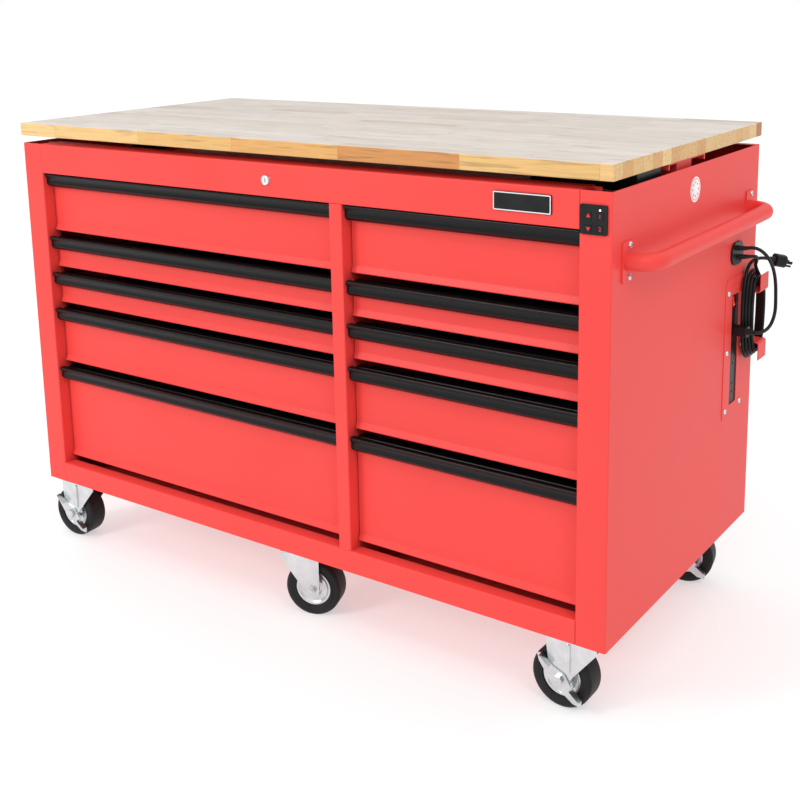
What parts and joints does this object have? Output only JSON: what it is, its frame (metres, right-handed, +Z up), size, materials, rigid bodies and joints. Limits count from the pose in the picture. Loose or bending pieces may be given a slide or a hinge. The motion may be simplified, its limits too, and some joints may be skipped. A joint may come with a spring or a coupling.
{
  "type": "rolling tool chest",
  "caption": "Wide red rolling tool chest with two columns of drawers, a lifting wooden worktop, brake casters, push handle and a side power strip.",
  "frame": {"origin": "on the floor under the middle of the chest's outer bounds, cords not counted", "axes": "+X along the width towards the push handle, +Y from the drawer fronts to the back, +Z up"},
  "size_m": [1.6593, 0.758, 1.069],
  "materials": {
    "red_paint": "satin red powder coat",
    "black_paint": "satin black anodised or powder-coated extrusion",
    "zinc": "bright zinc plating",
    "chrome": "polished",
    "tyre": "black rubber tread",
    "wood": "oiled laminated hardwood staves",
    "black_plastic": "matte black",
    "red_plastic": "translucent red",
    "white_plastic": "white label and lamp",
    "cord": "matte black cord jacket"
  },
  "bodies": {
    "drawer_left_1": {"drawer_left_1": "red_paint", "pull_left_1": "black_paint"},
    "drawer_left_2": {"drawer_left_2": "red_paint", "pull_left_2": "black_paint"},
    "drawer_left_3": {"drawer_left_3": "red_paint", "pull_left_3": "black_paint"},
    "drawer_left_4": {"drawer_left_4": "red_paint", "pull_left_4": "black_paint"},
    "drawer_left_5": {"drawer_left_5": "red_paint", "pull_left_5": "black_paint"},
    "drawer_right_1": {"drawer_right_1": "red_paint", "pull_right_1": "black_paint"},
    "drawer_right_2": {"drawer_right_2": "red_paint", "pull_right_2": "black_paint"},
    "drawer_right_3": {"drawer_right_3": "red_paint", "pull_right_3": "black_paint"},
    "drawer_right_4": {"drawer_right_4": "red_paint", "pull_right_4": "black_paint"},
    "drawer_right_5": {"drawer_right_5": "red_paint", "pull_right_5": "black_paint"},
    "caster_front_left": {"caster_fork_front_left": "zinc"},
    "wheel_front_left": {"wheel_front_left": "tyre"},
    "brake_front_left": {"brake_lever_front_left": "zinc"},
    "caster_front_middle": {"caster_fork_front_middle": "zinc"},
    "wheel_front_middle": {"wheel_front_middle": "tyre"},
    "caster_front_right": {"caster_fork_front_right": "zinc"},
    "wheel_front_right": {"wheel_front_right": "tyre"},
    "brake_front_right": {"brake_lever_front_right": "zinc"},
    "caster_back_left": {"caster_fork_back_left": "zinc"},
    "wheel_back_left": {"wheel_back_left": "tyre"},
    "brake_back_left": {"brake_lever_back_left": "zinc"},
    "caster_back_middle": {"caster_fork_back_middle": "zinc"},
    "wheel_back_middle": {"wheel_back_middle": "tyre"},
    "caster_back_right": {"caster_fork_back_right": "zinc"},
    "wheel_back_right": {"wheel_back_right": "tyre"},
    "brake_back_right": {"brake_lever_back_right": "zinc"},
    "up_key": {"up_key": "black_plastic"},
    "down_key": {"down_key": "black_plastic"},
    "memory_key_1": {"memory_key_1": "black_plastic"},
    "memory_key_2": {"memory_key_2": "black_plastic"},
    "lock_cylinder": {"lock_cylinder": "chrome"},
    "lock_bar": {"lock_bar": "zinc"},
    "rocker_switch": {"rocker_switch": "red_plastic"},
    "lifting_top": {"worktop": "wood", "lift_frame": "zinc", "lift_drives": "black_plastic"},
    "cabinet": {"cabinet_shell": "red_paint", "front_frame": "red_paint", "bright_hardware": "zinc", "lift_columns": "zinc", "push_handle": "red_paint", "strip_cover": "red_paint", "power_strip": "black_plastic", "cable_grommet": "black_plastic", "control_panel": "black_plastic", "mains_lead": "cord", "mains_coil": "cord", "lift_lead": "cord", "mains_plug": "black_plastic", "lift_plug": "black_plastic"}
  },
  "joints": [
    {"name": "drawer_left_1_slide", "type": "slide", "parent": "cabinet", "child": "drawer_left_1", "axis": [0, -1, 0], "range_m": [0, 0.48]},
    {"name": "drawer_left_2_slide", "type": "slide", "parent": "cabinet", "child": "drawer_left_2", "axis": [0, -1, 0], "range_m": [0, 0.48]},
    {"name": "drawer_left_3_slide", "type": "slide", "parent": "cabinet", "child": "drawer_left_3", "axis": [0, -1, 0], "range_m": [0, 0.48]},
    {"name": "drawer_left_4_slide", "type": "slide", "parent": "cabinet", "child": "drawer_left_4", "axis": [0, -1, 0], "range_m": [0, 0.48]},
    {"name": "drawer_left_5_slide", "type": "slide", "parent": "cabinet", "child": "drawer_left_5", "axis": [0, -1, 0], "range_m": [0, 0.48]},
    {"name": "drawer_right_1_slide", "type": "slide", "parent": "cabinet", "child": "drawer_right_1", "axis": [0, -1, 0], "range_m": [0, 0.48]},
    {"name": "drawer_right_2_slide", "type": "slide", "parent": "cabinet", "child": "drawer_right_2", "axis": [0, -1, 0], "range_m": [0, 0.48]},
    {"name": "drawer_right_3_slide", "type": "slide", "parent": "cabinet", "child": "drawer_right_3", "axis": [0, -1, 0], "range_m": [0, 0.48]},
    {"name": "drawer_right_4_slide", "type": "slide", "parent": "cabinet", "child": "drawer_right_4", "axis": [0, -1, 0], "range_m": [0, 0.48]},
    {"name": "drawer_right_5_slide", "type": "slide", "parent": "cabinet", "child": "drawer_right_5", "axis": [0, -1, 0], "range_m": [0, 0.48]},
    {"name": "caster_front_left_swivel", "type": "hinge", "parent": "cabinet", "child": "caster_front_left", "pos_m": [-0.72125, -0.3065, 0.155], "axis": [0, 0, 1], "continuous": true},
    {"name": "wheel_front_left_spin", "type": "hinge", "parent": "caster_front_left", "child": "wheel_front_left", "pos_m": [-0.75716, -0.30901, 0.0635], "axis": [0.0698, -0.9976, 0], "continuous": true},
    {"name": "brake_front_left_press", "type": "hinge", "parent": "caster_front_left", "child": "brake_front_left", "pos_m": [-0.75716, -0.30901, 0.0635], "axis": [0.0698, -0.9976, 0], "range_deg": [0, 20]},
    {"name": "caster_front_middle_swivel", "type": "hinge", "parent": "cabinet", "child": "caster_front_middle", "pos_m": [-0.01975, -0.3065, 0.155], "axis": [0, 0, 1], "continuous": true},
    {"name": "wheel_front_middle_spin", "type": "hinge", "parent": "caster_front_middle", "child": "wheel_front_middle", "pos_m": [0.01429, -0.29478, 0.0635], "axis": [-0.3256, 0.9455, 0], "continuous": true},
    {"name": "caster_front_right_swivel", "type": "hinge", "parent": "cabinet", "child": "caster_front_right", "pos_m": [0.68175, -0.3065, 0.155], "axis": [0, 0, 1], "continuous": true},
    {"name": "wheel_front_right_spin", "type": "hinge", "parent": "caster_front_right", "child": "wheel_front_right", "pos_m": [0.64575, -0.3065, 0.0635], "axis": [0, -1, 0], "continuous": true},
    {"name": "brake_front_right_press", "type": "hinge", "parent": "caster_front_right", "child": "brake_front_right", "pos_m": [0.64575, -0.3065, 0.0635], "axis": [0, -1, 0], "range_deg": [0, 20]},
    {"name": "caster_back_left_swivel", "type": "hinge", "parent": "cabinet", "child": "caster_back_left", "pos_m": [-0.72125, 0.3065, 0.155], "axis": [0, 0, 1], "continuous": true},
    {"name": "wheel_back_left_spin", "type": "hinge", "parent": "caster_back_left", "child": "wheel_back_left", "pos_m": [-0.75716, 0.30901, 0.0635], "axis": [-0.0698, -0.9976, 0], "continuous": true},
    {"name": "brake_back_left_press", "type": "hinge", "parent": "caster_back_left", "child": "brake_back_left", "pos_m": [-0.75716, 0.30901, 0.0635], "axis": [-0.0698, -0.9976, 0], "range_deg": [0, 20]},
    {"name": "caster_back_middle_swivel", "type": "hinge", "parent": "cabinet", "child": "caster_back_middle", "pos_m": [-0.01975, 0.3065, 0.155], "axis": [0, 0, 1], "continuous": true},
    {"name": "wheel_back_middle_spin", "type": "hinge", "parent": "caster_back_middle", "child": "wheel_back_middle", "pos_m": [-0.05358, 0.31881, 0.0635], "axis": [-0.342, -0.9397, 0], "continuous": true},
    {"name": "caster_back_right_swivel", "type": "hinge", "parent": "cabinet", "child": "caster_back_right", "pos_m": [0.68175, 0.3065, 0.155], "axis": [0, 0, 1], "continuous": true},
    {"name": "wheel_back_right_spin", "type": "hinge", "parent": "caster_back_right", "child": "wheel_back_right", "pos_m": [0.64641, 0.29963, 0.0635], "axis": [0.1908, -0.9816, 0], "continuous": true},
    {"name": "brake_back_right_press", "type": "hinge", "parent": "caster_back_right", "child": "brake_back_right", "pos_m": [0.64641, 0.29963, 0.0635], "axis": [0.1908, -0.9816, 0], "range_deg": [0, 20]},
    {"name": "up_key_press", "type": "slide", "parent": "cabinet", "child": "up_key", "axis": [0, 1, 0], "range_m": [0, 0.0005], "stiffness_N_per_m": 600},
    {"name": "down_key_press", "type": "slide", "parent": "cabinet", "child": "down_key", "axis": [0, 1, 0], "range_m": [0, 0.0005], "stiffness_N_per_m": 600},
    {"name": "memory_key_1_press", "type": "slide", "parent": "cabinet", "child": "memory_key_1", "axis": [0, 1, 0], "range_m": [0, 0.0005], "stiffness_N_per_m": 600},
    {"name": "memory_key_2_press", "type": "slide", "parent": "cabinet", "child": "memory_key_2", "axis": [0, 1, 0], "range_m": [0, 0.0005], "stiffness_N_per_m": 600},
    {"name": "lock_turn", "type": "hinge", "parent": "cabinet", "child": "lock_cylinder", "pos_m": [-0.01975, -0.3685, 0.986], "axis": [0, -1, 0], "range_deg": [0, 90]},
    {"name": "lock_bar_lift", "type": "slide", "parent": "cabinet", "child": "lock_bar", "axis": [0, 0, 1], "range_m": [0, 0.008]},
    {"name": "rocker_tip", "type": "hinge", "parent": "cabinet", "child": "rocker_switch", "pos_m": [0.74775, 0.2515, 0.693], "axis": [0, 1, 0], "range_deg": [0, 14]},
    {"name": "top_lift", "type": "slide", "parent": "cabinet", "child": "lifting_top", "axis": [0, 0, 1], "range_m": [0, 0.3]}
  ],
  "couplings": [
    {"joint": "lock_turn", "follows": "lock_bar_lift", "rad_per_m": 196.34}
  ]
}
